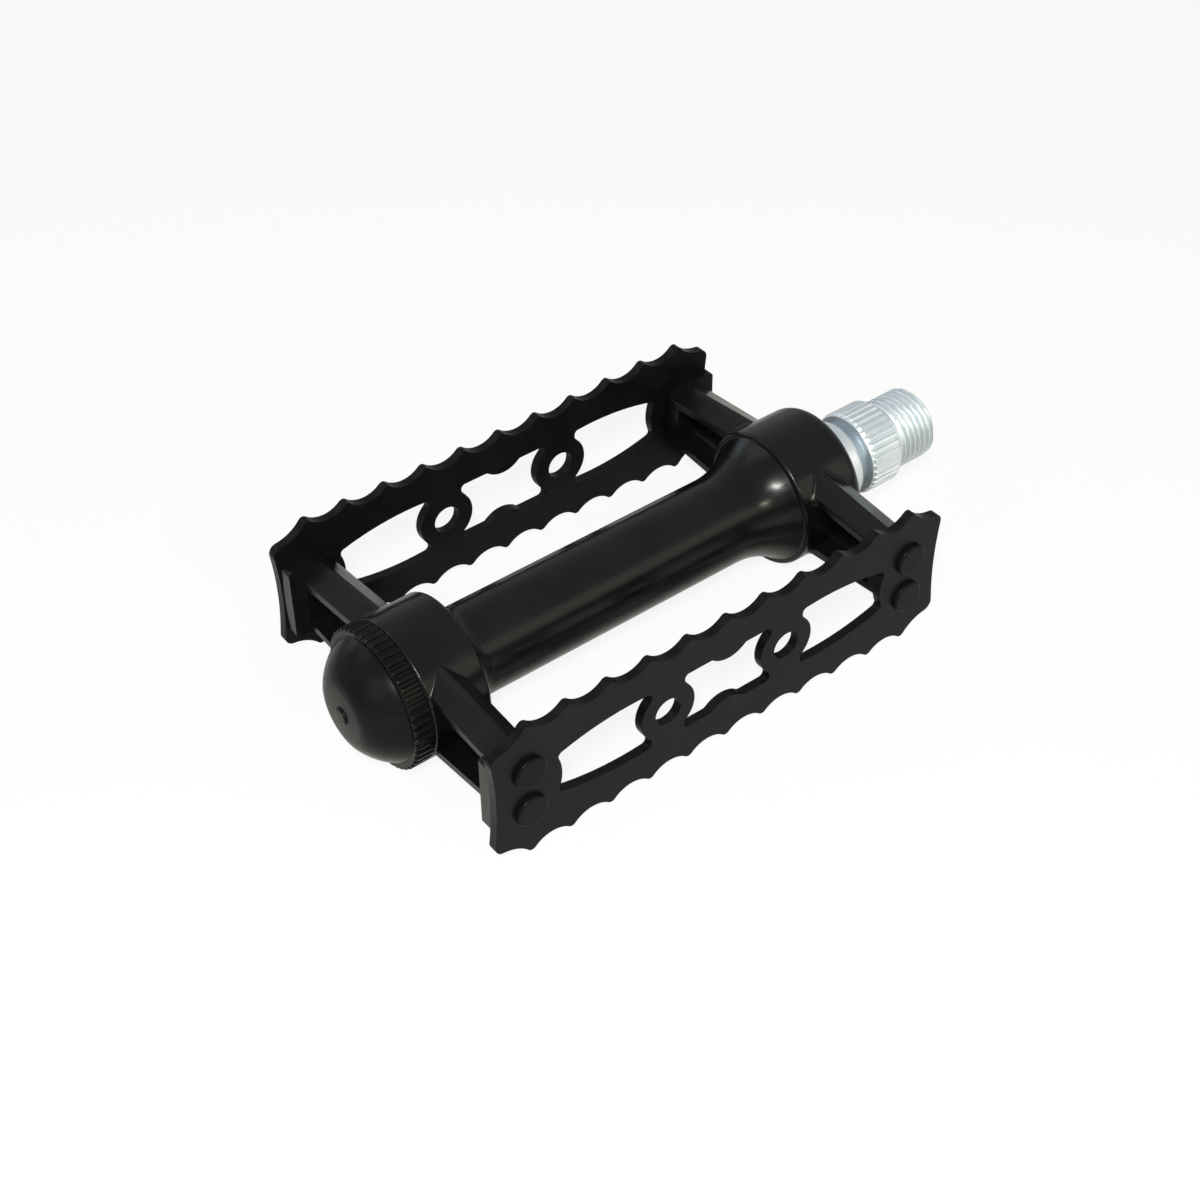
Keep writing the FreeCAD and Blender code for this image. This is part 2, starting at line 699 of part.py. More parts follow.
def dust_cap():
    """Domed cap with a flattened end, a ridged rim and a hollow threaded spigot."""
    rim_in = outboard_boss_out_x
    rim_out = rim_in - cap_rim_w
    dome_r = (cap_dome_h * cap_dome_h + cap_dome_base_r * cap_dome_base_r) / (2 * cap_dome_h)
    centre_x = rim_out - cap_dome_h + dome_r
    foot = math.asin(cap_dome_base_r / dome_r)
    shoulder = math.radians(cap_shoulder_deg)
    shoulder_x = centre_x - (dome_r - cap_shoulder_r) * math.cos(shoulder)
    shoulder_y = (dome_r - cap_shoulder_r) * math.sin(shoulder)
    end_turn = math.asin(shoulder_y / (cap_end_r - cap_shoulder_r))
    end_x = shoulder_x + (cap_end_r - cap_shoulder_r) * math.cos(end_turn)
    apex = end_x - cap_end_r
    flank_mid = from_end(centre_x, 0, dome_r, (foot + shoulder) / 2)
    flank_top = from_end(centre_x, 0, dome_r, shoulder)
    shoulder_mid = from_end(shoulder_x, shoulder_y, cap_shoulder_r, (shoulder + end_turn) / 2)
    shoulder_top = from_end(shoulder_x, shoulder_y, cap_shoulder_r, end_turn)
    end_mid = from_end(end_x, 0, cap_end_r, end_turn / 2)
    spigot_r = cup_outer_r - cap_thread_clearance
    spigot_in = rim_in + cap_spigot_len
    hollow_r = spigot_r - cap_spigot_wall
    inner_dome = dome_r - cap_wall
    hollow_foot = math.asin(hollow_r / inner_dome)
    hollow_end = math.acos((centre_x - apex - cap_wall) / inner_dome)
    meet = from_end(centre_x, 0, inner_dome, hollow_foot)
    inner_mid = from_end(centre_x, 0, inner_dome, (hollow_foot + hollow_end) / 2)
    inner_top = from_end(centre_x, 0, inner_dome, hollow_end)
    loop = [
        (Vector(apex, 0, 0), end_mid, shoulder_top),
        (shoulder_top, shoulder_mid, flank_top),
        (flank_top, flank_mid, Vector(rim_out, cap_dome_base_r, 0)),
        (Vector(rim_out, cap_dome_base_r, 0), Vector(rim_in, cap_dome_base_r, 0)),
        (Vector(rim_in, cap_dome_base_r, 0), Vector(rim_in, spigot_r, 0)),
        (Vector(rim_in, spigot_r, 0), Vector(spigot_in, spigot_r, 0)),
        (Vector(spigot_in, spigot_r, 0), Vector(spigot_in, hollow_r, 0)),
        (Vector(spigot_in, hollow_r, 0), meet),
        (meet, inner_mid, inner_top),
        (inner_top, Vector(apex + cap_wall, 0, 0)),
        (Vector(apex + cap_wall, 0, 0), Vector(apex, 0, 0)),
    ]
    solid = turned_loop(loop)
    rim = ridged_bar(rim_out, rim_in, cap_rim_root_r, cap_rim_r, cap_ridge_count, cap_crest_share)
    blank = turned([(rim_out, 0, 0), (rim_out, cap_rim_r - cap_rim_chamfer, 0),
                    (rim_out + cap_rim_chamfer, cap_rim_r + 0.01, 0), (rim_in, cap_rim_r + 0.01, 0), (rim_in, 0, 0)])
    rim = rim.common(blank).cut(rod(rim_out - 1, rim_in + 1, cap_dome_base_r - 0.4))
    solid = solid.fuse(rim)
    nub = turned([(apex + cap_wall / 2, 0, 0), (apex - cap_nub_h, 0, 0), (apex - cap_nub_h, cap_nub_r, cap_nub_round),
                  (apex + cap_wall / 2, cap_nub_r, 0)])
    return solid.fuse(nub)


def dust_seal():
    """Ring closing the inboard boss mouth round the axle ring."""
    x1 = inboard_boss_out_x - seal_recess
    x0 = x1 - seal_t
    return rod(x0, x1, seal_outer_r).cut(rod(x0 - 1, x1 + 1, axle_ring_r + seal_clearance))


os.makedirs("parts", exist_ok=True)
pieces = {
    "pedal_body": pedal_body(),
    "front_cage_plate": cage_plate(-1),
    "rear_cage_plate": cage_plate(1),
    "plate_rivets": rivets(),
    "dust_cap": dust_cap(),
    "axle": axle(),
    "outboard_cup": cup(-1),
    "inboard_cup": cup(1),
    "outboard_balls": balls(-1),
    "inboard_balls": balls(1),
    "adjusting_cone": adjusting_cone(),
    "keyed_washer": keyed_washer(),
    "lock_nut": lock_nut(),
    "dust_seal": dust_seal(),
}
for name, shape in pieces.items():
    box = shape.BoundBox
    size = "%.1f x %.1f x %.1f" % (box.XLength, box.YLength, box.ZLength)
    print(name, shape.ShapeType, len(shape.Solids), "valid" if shape.isValid() else "INVALID", size)
    shape.exportStep("parts/" + name + ".step")
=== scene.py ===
"""Looks of a touring pedal: turned axle, moulded dust cap, painted casting, toothed plates and a studio."""

import math

import bpy
import numpy as np
from mathutils import Matrix, Vector


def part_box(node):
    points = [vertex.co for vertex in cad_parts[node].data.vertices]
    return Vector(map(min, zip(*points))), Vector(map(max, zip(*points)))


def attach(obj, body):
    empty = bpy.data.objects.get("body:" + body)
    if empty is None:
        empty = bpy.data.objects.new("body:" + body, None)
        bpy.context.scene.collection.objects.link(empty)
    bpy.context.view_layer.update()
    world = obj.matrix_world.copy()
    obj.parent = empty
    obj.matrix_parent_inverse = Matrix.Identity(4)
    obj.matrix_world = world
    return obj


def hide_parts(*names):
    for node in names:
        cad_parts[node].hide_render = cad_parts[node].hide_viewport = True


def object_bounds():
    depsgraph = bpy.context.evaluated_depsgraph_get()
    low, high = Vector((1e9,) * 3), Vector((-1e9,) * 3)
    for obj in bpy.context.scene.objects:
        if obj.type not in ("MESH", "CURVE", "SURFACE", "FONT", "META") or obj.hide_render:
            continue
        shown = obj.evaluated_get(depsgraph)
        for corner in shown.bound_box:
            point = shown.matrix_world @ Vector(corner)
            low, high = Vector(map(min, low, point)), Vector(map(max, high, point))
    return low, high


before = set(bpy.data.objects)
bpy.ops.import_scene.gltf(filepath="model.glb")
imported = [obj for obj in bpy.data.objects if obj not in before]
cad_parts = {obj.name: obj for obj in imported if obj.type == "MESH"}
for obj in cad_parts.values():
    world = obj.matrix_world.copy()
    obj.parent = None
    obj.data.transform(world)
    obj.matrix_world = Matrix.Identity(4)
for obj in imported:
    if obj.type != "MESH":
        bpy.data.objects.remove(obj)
cad_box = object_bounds()

bl_info = {
    "name": "Touring pedal finish",
    "version": (1, 0, 0),
    "blender": (4, 5, 0),
    "location": "3D View > Sidebar > Pedal",
    "description": "Dresses the pedal's solids with turned, moulded and painted surfaces in a pale studio",
    "category": "Object",
}

MM = 0.001
MICRON = 1e-6
WHITE = (1, 1, 1, 1)

SHARP_ANGLE = math.radians(50)  # edges of the new surfaces that stay sharp
BEVEL_ANGLE = math.radians(38)  # edges of the solids that are rounded
WELD_REACH = 0.002 * MM  # corners of the solids' loose triangles that are joined

CORE_RADIUS = 3 * MM  # where the hidden end faces inside the axle close
FAN_RADIUS = 1 * MM  # where the other end faces turn into a fan
NUB_FAN_RADIUS = 0.6 * MM  # the same for the cap's gate mark
HAIR = 0.02 * MM  # keeps two neighbouring rows apart

SHAFT_COLUMNS, THREAD_COLUMNS = 120, 144  # points round the whole turn
COLLAR_COLUMNS, CAP_COLUMNS = 16, 14  # points round one ridge

# Collar at its groove side: millimetres from the face, and the share of the ridges' height reached there
COLLAR_LEAD = ((0, -0.25), (0.08, 0), (0.3, 0.05), (0.48, 0.45), (0.66, 0.85), (0.86, 1))
# Collar at its seat: distance from the seat and depth cut off, both as shares of the chamfer
COLLAR_CHAMFER = (
    (1.6, 0), (1.05, 0), (1, 0.02), (0.75, 0.25), (0.5, 0.5), (0.25, 0.75), (0.04, 0.97), (0, 1.06))
COLLAR_LEAD_GAP, COLLAR_SEAT_GAP, COLLAR_ROWS = 1 * MM, 1.4 * MM, 8  # straight rows between those two
COLLAR_CREST, COLLAR_ROOT = 0.22, 0.46  # half widths of crest and ridge foot, as shares of the ridge step
CAP_CREST, CAP_ROOT = 0.16, 0.36
RIM_LEAD_GAP, RIM_BACK_GAP, RIM_ROWS = 1 * MM, 0.4 * MM, 5  # straight rows of the cap's grip ridges
# Grip ridges at the rim's back: millimetres from the back face, and the share of their height there
RIM_BACK = ((0.15, 0.97), (0, 0.8))
THREAD_CREST, THREAD_ROOT = 0.07, 0.40  # half width of the crest and start of the root, shares of the pitch
THREAD_DEPTH = 0.58  # as a share of the pitch
THREAD_FADE = 0.8  # length over which the groove deepens, as a share of the pitch
THREAD_EARLY = 0.6 * MM  # how far before the relief's end the groove starts
THREAD_INSET = 0.05 * MM  # how far the relief starts inside the seat
THREAD_ROW_GAP, RELIEF_ROWS, THREAD_ROWS = 0.1 * MM, 6, 110  # rows along the relief and the thread
END_FACE_INSET = 0.15 * MM  # row on the thread's end face, inside its chamfer

NOISE_LOW, NOISE_HIGH = 0.3, 0.7  # between which Blender's noise mostly lies
BLOTCH_MM = 9.0  # width of the faint blotches in the black coats
BLOTCH_GAIN, BLOTCH_LIFT = 1.5, 0.0008  # lighter colour of the blotches
COAT_UNEVEN = 0.03  # how far the roughness of a coat strays
CLOUD_MM = 4.0  # width of the tint clouds on the plated metals
RING_STRETCH = (1.0, 0.02, 0.02)  # draws noise out into rings round the axle
METAL_UNEVEN = 0.06  # how far the roughness of a turned metal strays

FLOOR_REACH = 4.0
FLOOR_LINES = 9

# Lamps: name, way from the pedal, distance, width and height in metres, strength's property and tint
LAMPS = (
    ("key_lamp", (-0.46, -0.51, 0.73), 0.6, 0.05, 0.13, "key_light", "#fffcf6"),
    ("low_lamp", (-0.08, -0.83, 0.55), 0.6, 0.06, 0.06, "low_light", "#fcfce2"),
    ("front_window", (0.46, -0.8, 0.39), 0.7, 0.5, 0.35, "window_light", "#fff2e0"),
    ("side_lamp", (-0.86, -0.2, 0.47), 0.7, 0.3, 0.3, "side_light", "#fff9ee"),
    ("back_window", (-0.2, 0.92, 0.33), 0.9, 0.42, 0.25, "back_light", "#dcecf8"),
    ("top_lamp", (-0.42, 0.59, 0.69), 0.9, 0.5, 0.36, "top_light", "#ecf5fa"),
)


def linear(code):
    """Linear RGBA of an sRGB hex code: the low part is divided by 12.92, the rest follows the 2.4 power."""
    part = np.array([int(code[i:i + 2], 16) / 255 for i in (1, 3, 5)])
    part = np.where(part <= 0.04045, part / 12.92, ((part + 0.055) / 1.055) ** 2.4)
    return (*part.tolist(), 1.0)


def length(name, description, value):
    """A length property given in millimetres."""
    return bpy.props.FloatProperty(
        name=name, description=description, default=value * MM, unit="LENGTH", precision=5)


def place(name, description, value):
    """A place property given in millimetres."""
    return bpy.props.FloatVectorProperty(
        name=name, description=description, default=[part * MM for part in value], size=3, subtype="XYZ",
        unit="LENGTH", precision=5)


def turn(name, description, value):
    """An angle property given in degrees."""
    return bpy.props.FloatProperty(
        name=name, description=description, default=math.radians(value), subtype="ANGLE")


def count(name, description, value):
    """A whole number property."""
    return bpy.props.IntProperty(name=name, description=description, default=value, min=3)


def number(name, description, value):
    """A plain number property."""
    return bpy.props.FloatProperty(name=name, description=description, default=value)


def colour(name, description, code):
    """A colour property given as an sRGB hex code."""
    return bpy.props.FloatVectorProperty(
        name=name, description=description, default=linear(code), subtype="COLOR", size=4, min=0, max=1)


# Sizes and colours

inner_ball_low, inner_ball_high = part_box("inboard_balls")
outer_ball_low, outer_ball_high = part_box("outboard_balls")
axle_low, axle_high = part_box("axle")
cap_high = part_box("dust_cap")[1]


class AxleSizes(bpy.types.PropertyGroup):
    """Sizes of the turned axle."""

    stub_radius: length("Stub radius", "Outboard stub that carries the cone and the lock nut", 4.0)
    stub_round: length("Stub rounding", "Rounding of the stub's end", 0.5)
    stub_reach: length("Stub reach", "From the middle of the outboard balls to the stub's shoulder", 2.9)
    key_depth: length("Key depth", "Depth of the key groove along the stub", 0.9)
    key_half_width: length("Key half width", "Half the width of the key groove", 0.8)
    key_reach: length("Key reach", "From the middle of the outboard balls to the end of the key groove", 3.7)
    shaft_start: length("Shaft start", "Shaft radius at the stub's shoulder", 4.6)
    shaft_radius: length("Shaft radius", "Shaft next to the inner cone", 5.5)
    shoulder_round: length("Shoulder rounding", "Rounding of the shaft's shoulders", 0.2)
    nose_reach: length("Nose reach", "From the middle of the inboard balls to the inner cone's nose", 1.4)
    race_gap: length("Race gap", "Clearance between the balls and the inner cone", 0.05)
    race_turn: turn("Race turn", "How far the inner cone's race goes round the balls", 80)
    ring_radius: length("Ring radius", "Smooth ring in the body's mouth", 8.1)
    ring_face_round: length("Ring face rounding", "Rounding of the ring's inner edge", 0.15)
    ring_end: length("Ring end", "Crank side face of the ring", -9.6)
    ring_round: length("Ring rounding", "Rounding of the ring's outer edge", 1.2)
    neck_radius: length("Neck radius", "Groove between ring and collar", 6.8)
    neck_round: length("Neck rounding", "Rounding at the foot of the ring's face", 0.05)
    neck_overlap: length("Neck overlap", "How far the neck reaches into the collar", 0.2)
    # Painted shade: faces of the neck from this far before the ring's end get the darker zinc colour
    neck_shade_start: length("Dull start", "How far the dull zinc starts before the ring's end", 0.25)
    collar_start: length("Collar start", "Body side face of the ridged collar", -7.6)
    collar_radius: length("Collar radius", "Crests of the collar ridges", 8.4)
    collar_groove: length("Collar groove", "Depth of the grooves between the ridges", 0.4)
    collar_chamfer: length("Collar chamfer", "Chamfer at the seat face", 0.5)
    collar_ridges: count("Collar ridges", "Number of ridges round the collar", 36)
    thread_radius: length("Thread radius", "Major radius of the crank thread", 7.144)
    thread_pitch: length("Thread pitch", "Twenty turns to the inch", 1.27)
    thread_relief: length("Thread relief", "Plain length next to the seat", 1.5)
    relief_depth: length("Relief depth", "How far the plain length lies under the crests", 0.1)
    thread_chamfer: length("Thread chamfer", "Chamfer at the thread's end", 0.9)
    socket_flats: length("Socket flats", "Hexagon socket across its flats", 6.0)
    socket_depth: length("Socket depth", "Depth of the hexagon socket", 7.0)
    socket_chamfer: length("Socket chamfer", "Chamfer at the socket's mouth", 0.25)
    socket_point: length("Socket point", "Height of the tapered floor of the socket", 0.5)


class CapSizes(bpy.types.PropertyGroup):
    """Sizes of the moulded dust cap."""

    rim_radius: length("Rim radius", "Crests of the grip ridges", 13.5)
    rim_width: length("Rim width", "Length of the ridges along the axle", 3.8)
    ridge_depth: length("Ridge depth", "Height of the grip ridges", 0.55)
    ridge_round: length("Ridge rounding", "Rounding of the ridges' front corners", 0.55)
    ridges: count("Ridges", "Number of grip ridges round the rim", 50)
    rim_sink: length("Rim sink", "How far the rim's faces end under the roots of the ridges", 0.1)
    step: length("Step", "Flat ring between the rim and the dome", 1.45)
    dome_height: length("Dome height", "Rise of the flank's sphere over the rim", 7.5)
    shoulder_angle: turn("Shoulder angle", "Where the flank turns into the shoulder, from the axle", 34)
    shoulder_radius: length("Shoulder radius", "Rounding between the flank and the flat end", 5.0)
    end_radius: length("End radius", "Crown of the flat end", 70.0)
    wall: length("Wall", "Thickness of the dome", 1.5)
    nub_radius: length("Nub radius", "Moulding gate mark in the middle of the end", 1.7)
    nub_height: length("Nub height", "Height of the gate mark", 0.35)
    nub_round: length("Nub rounding", "Rounding of the gate mark's edge", 0.3)
    nub_foot: length("Nub foot", "Slope round the foot of the gate mark", 0.15)
    spigot_radius: length("Spigot radius", "Part that screws into the casting", 11.145)
    spigot_length: length("Spigot length", "Length of the spigot", 4.6)
    spigot_wall: length("Spigot wall", "Thickness of the spigot", 1.7)
    spigot_round: length("Spigot rounding", "Rounding of the spigot's outer end", 0.4)
    hollow_round: length("Hollow rounding", "Rounding of the hollow's mouth", 0.2)


class EdgeSizes(bpy.types.PropertyGroup):
    """Roundings that finishing leaves on the solids' edges."""

    plate: length("Plate edge", "Rounding of the pressed plates' edges", 0.42)
    casting: length("Casting edge", "Rounding of the casting's sharp edges", 0.25)
    small: length("Small part edge", "Rounding of the small turned parts", 0.08)


class FinishColours(bpy.types.PropertyGroup):
    """Base colours of the finishes."""

    casting: colour("Casting paint", "Satin black paint on the casting", "#0c0c0c")
    plate: colour("Plate coat", "Satin black coat on the plates", "#0b0b0c")
    rivet: colour("Rivet heads", "Blackened rivet heads", "#0c0c0c")
    cap: colour("Cap plastic", "Black moulded cap", "#0e0e0d")
    zinc: colour("Zinc", "Bright zinc plate", "#dde3e6")
    zinc_tint: colour("Zinc tint", "Faint passivation tint of the zinc", "#cfdade")
    # Painted shade: this darker, greyer zinc colour stands in for the shade in the neck groove
    painted_shade_zinc: colour("Dull zinc", "Greyer zinc in the neck groove", "#94a2ac")
    steel: colour("Race steel", "Ground bearing steel", "#b4b4b2")
    ball: colour("Ball steel", "Polished bearing balls", "#d2d2d4")
    rubber: colour("Seal rubber", "Matt black rubber", "#141414")


class StageSizes(bpy.types.PropertyGroup):
    """Camera, lamps and backdrop."""

    camera_place: place("Camera place", "Where the camera stands", (-245.118, -230.798, 254.290))
    camera_aim: place("Camera aim", "Point in the middle of the image", (-68.838, -1.445, -2.794))
    camera_roll: turn("Camera roll", "Turn of the camera about its view", -0.645)
    lens: number("Lens", "Focal length on a 36 mm sensor, in millimetres", 64.0917)
    key_light: number("Key light", "Radiance of the narrow lamp by the camera", 172.0)
    low_light: number("Low light", "Radiance of the small low lamp in front", 62.0)
    window_light: number("Window light", "Radiance of the wide window in front on the right", 1.4)
    side_light: number("Side light", "Radiance of the soft lamp on the left", 1.4)
    back_light: number("Back light", "Radiance of the low cool window behind", 1.5)
    top_light: number("Top light", "Radiance of the soft lamp high behind on the left", 1.15)
    room_light: number("Room light", "Strength of the room on matt surfaces", 0.1)
    room_gloss: number("Room gloss", "Strength of the room in glossy surfaces", 0.62)
    room_white: number("Room white", "Strength of the room to the camera", 0.89)
    room_tint: colour("Room tint", "Colour of the room in glossy surfaces", "#fafcff")
    paper: colour("Paper", "Studio paper to the camera and in glossy surfaces", "#f2f2f2")
    paper_bounce: colour("Paper bounce", "Studio paper as it lights matt surfaces", "#7e7e7e")
    paper_glow: number("Paper glow", "Share of plain white in the paper to the camera", 0.88)


# Surfaces round the axle axis

def rounded(corners, steps=6):
    """Outline through (along, out, rounding) corners, each replaced by the arc that touches both its sides.

    An arc of radius q in a corner of half angle h starts q / tan h away from it, about a centre q / sin h
    away, and its points turn evenly from the first touching point to the second.
    """
    spots = np.array([c[:2] for c in corners], float)
    pieces = [spots[:1]]
    share = np.linspace(0, 1, steps + 1)[:, None]
    for before, here, after, corner in zip(spots, spots[1:], spots[2:], corners[1:]):
        if not corner[2]:
            pieces.append(here[None])
            continue
        back = (before - here) / np.linalg.norm(before - here)
        on = (after - here) / np.linalg.norm(after - here)
        half = 0.5 * math.acos(float(back @ on))
        middle = (back + on) / np.linalg.norm(back + on)
        centre = here + middle * corner[2] / math.sin(half)
        first = here + back * corner[2] / math.tan(half) - centre
        last = here + on * corner[2] / math.tan(half) - centre
        bend = math.pi - 2 * half
        sweep = (np.sin((1 - share) * bend) * first + np.sin(share * bend) * last) / math.sin(bend)
        pieces.append(centre + sweep)
    pieces.append(spots[-1:])
    return np.vstack(pieces)


def arc(centre, radius, start, stop, steps):
    """Points of a circle about (along, out), from one angle to another, both from the axle direction."""
    angle = np.linspace(start, stop, steps)
    return np.stack([centre[0] + radius * np.cos(angle), centre[1] + radius * np.sin(angle)], axis=1)


def ridge_wave(angle, ridges, crest, root):
    """Height from 0 to 1 of evenly spaced ridges: full over a crest share of the step, nought beyond a root
    share, with an S curve between them."""
    share = np.abs((angle * ridges / (2 * math.pi) + 0.5) % 1.0 - 0.5)
    rise = np.clip((root - share) / (root - crest), 0, 1)
    return rise * rise * (3 - 2 * rise)


def turned_piece(name, along, out, angle):
    """Closed surface round the axle axis: row i and column j stand at along[i, j] on the axis and out[i, j]
    from it, turned by angle[j]; each end row is closed by a fan to the middle of its own circle."""
    along, out = np.broadcast_arrays(along, out)
    rows, columns = out.shape
    points = np.stack([along, out * np.cos(angle), out * np.sin(angle)], axis=-1)
    index = np.arange(rows * columns).reshape(rows, columns)
    after = np.roll(index, -1, axis=1)
    quads = np.stack([index[:-1], after[:-1], after[1:], index[1:]], axis=-1).reshape(-1, 4)
    poles = points[[0, -1]].mean(axis=1)
    first = np.stack([np.full(columns, rows * columns), after[0], index[0]], axis=-1)
    last = np.stack([index[-1], after[-1], np.full(columns, rows * columns + 1)], axis=-1)
    vertices = np.vstack([points.reshape(-1, 3), poles])
    mesh = bpy.data.meshes.new(name)
    mesh.from_pydata(vertices.tolist(), [], first.tolist() + quads.tolist() + last.tolist())
    if mesh.validate():
        raise ValueError(f"the surface of {name} has faulty faces")
    mesh.shade_smooth()
    mesh.set_sharp_from_angle(angle=SHARP_ANGLE)
    piece = bpy.data.objects.new(name, mesh)
    bpy.context.scene.collection.objects.link(piece)
    weigh(piece)
    return piece


def weigh(piece):
    """Gives large faces the say over the shading of their corners, so flats stay flat beside roundings."""
    weights = piece.modifiers.new("flat_faces", "WEIGHTED_NORMAL")
    weights.keep_sharp = True
    weights.weight = 80


def soften(node, width):
    """Rounds a solid's sharp edges by a small width, after its loose triangles are joined."""
    joined = node.modifiers.new("joined", "WELD")
    joined.merge_threshold = WELD_REACH
    edge = node.modifiers.new("edge_rounding", "BEVEL")
    edge.width = width
    edge.segments = 3
    edge.limit_method = "ANGLE"
    edge.angle_limit = BEVEL_ANGLE
    edge.miter_outer = "MITER_ARC"
    weigh(node)


def dress(piece, material):
    """Gives every face of a piece one material."""
    piece.data.materials.clear()
    piece.data.materials.append(material)


# Finishes

def add(tree, kind, inputs, **settings):
    """Adds a node with its settings; an input is a plain value or another node's output."""
    node = tree.nodes.new(kind)
    for key, value in settings.items():
        setattr(node, key, value)
    for key, value in inputs.items():
        if isinstance(value, bpy.types.NodeSocket):
            tree.links.new(value, node.inputs[key])
        else:
            node.inputs[key].default_value = value
    return node


def start_finish(name):
    """A new material with its tree, its shader and the piece's own coordinates."""
    material = bpy.data.materials.new(name)
    material.use_nodes = True
    tree = material.node_tree
    shader = tree.nodes["Principled BSDF"]
    spot = add(tree, "ShaderNodeTexCoord", {}).outputs["Object"]
    return material, tree, shader, spot


def black_coat(name, base, roughness, level, lump_mm, lump_um, grit_mm, grit_um):
    """A black coat: base colour with faint blotches, lumps of orange peel, fine grit and uneven gloss."""
    material, tree, shader, spot = start_finish(name)
    lumps, grit, blotch = (
        add(tree, "ShaderNodeTexNoise", {
            "Vector": spot, "Scale": 1 / (width * MM), "Detail": detail, "Roughness": 0.5}).outputs["Fac"]
        for width, detail in ((lump_mm, 2.0), (grit_mm, 3.0), (BLOTCH_MM, 2.0)))
    blend, gloss = (
        add(tree, "ShaderNodeMapRange", {
            "Value": blotch, "From Min": NOISE_LOW, "From Max": NOISE_HIGH,
            "To Min": low, "To Max": high}).outputs["Result"]
        for low, high in ((0.0, 1.0), (roughness - COAT_UNEVEN, roughness + COAT_UNEVEN)))
    light = tuple(min(1.0, BLOTCH_GAIN * c + BLOTCH_LIFT) for c in base[:3]) + (1.0,)
    mixed = add(tree, "ShaderNodeMix", {"Factor": blend, "A": base, "B": light}, data_type="RGBA")
    tree.links.new(mixed.outputs["Result"], shader.inputs["Base Color"])
    tree.links.new(gloss, shader.inputs["Roughness"])
    peel = add(tree, "ShaderNodeBump", {"Height": lumps, "Strength": 1.0, "Distance": lump_um * MICRON})
    fine = add(tree, "ShaderNodeBump", {
        "Height": grit, "Strength": 1.0, "Distance": grit_um * MICRON, "Normal": peel.outputs["Normal"]})
    tree.links.new(fine.outputs["Normal"], shader.inputs["Normal"])
    shader.inputs["IOR"].default_value = 1.5
    shader.inputs["Specular IOR Level"].default_value = level
    return material


def turned_metal(name, base, tint, roughness, line_mm, line_um):
    """A turned metal: fine rings from the tool round the axle, uneven gloss and a faint cloud of tint."""
    material, tree, shader, spot = start_finish(name)
    drawn = add(tree, "ShaderNodeMapping", {"Vector": spot, "Scale": RING_STRETCH}).outputs["Vector"]
    rings, cloud = (
        add(tree, "ShaderNodeTexNoise", {
            "Vector": where, "Scale": 1 / (width * MM), "Detail": detail, "Roughness": 0.5}).outputs["Fac"]
        for where, width, detail in ((drawn, line_mm, 3.0), (spot, CLOUD_MM, 2.0)))
    blend, gloss = (
        add(tree, "ShaderNodeMapRange", {
            "Value": noise, "From Min": NOISE_LOW, "From Max": NOISE_HIGH,
            "To Min": low, "To Max": high}).outputs["Result"]
        for noise, low, high in (
            (cloud, 0.0, 1.0), (rings, roughness - METAL_UNEVEN, roughness + METAL_UNEVEN)))
    mixed = add(tree, "ShaderNodeMix", {"Factor": blend, "A": base, "B": tint}, data_type="RGBA")
    tree.links.new(mixed.outputs["Result"], shader.inputs["Base Color"])
    tree.links.new(gloss, shader.inputs["Roughness"])
    cut = add(tree, "ShaderNodeBump", {"Height": rings, "Strength": 1.0, "Distance": line_um * MICRON})
    tree.links.new(cut.outputs["Normal"], shader.inputs["Normal"])
    shader.inputs["Metallic"].default_value = 1.0
    return material


# Operators

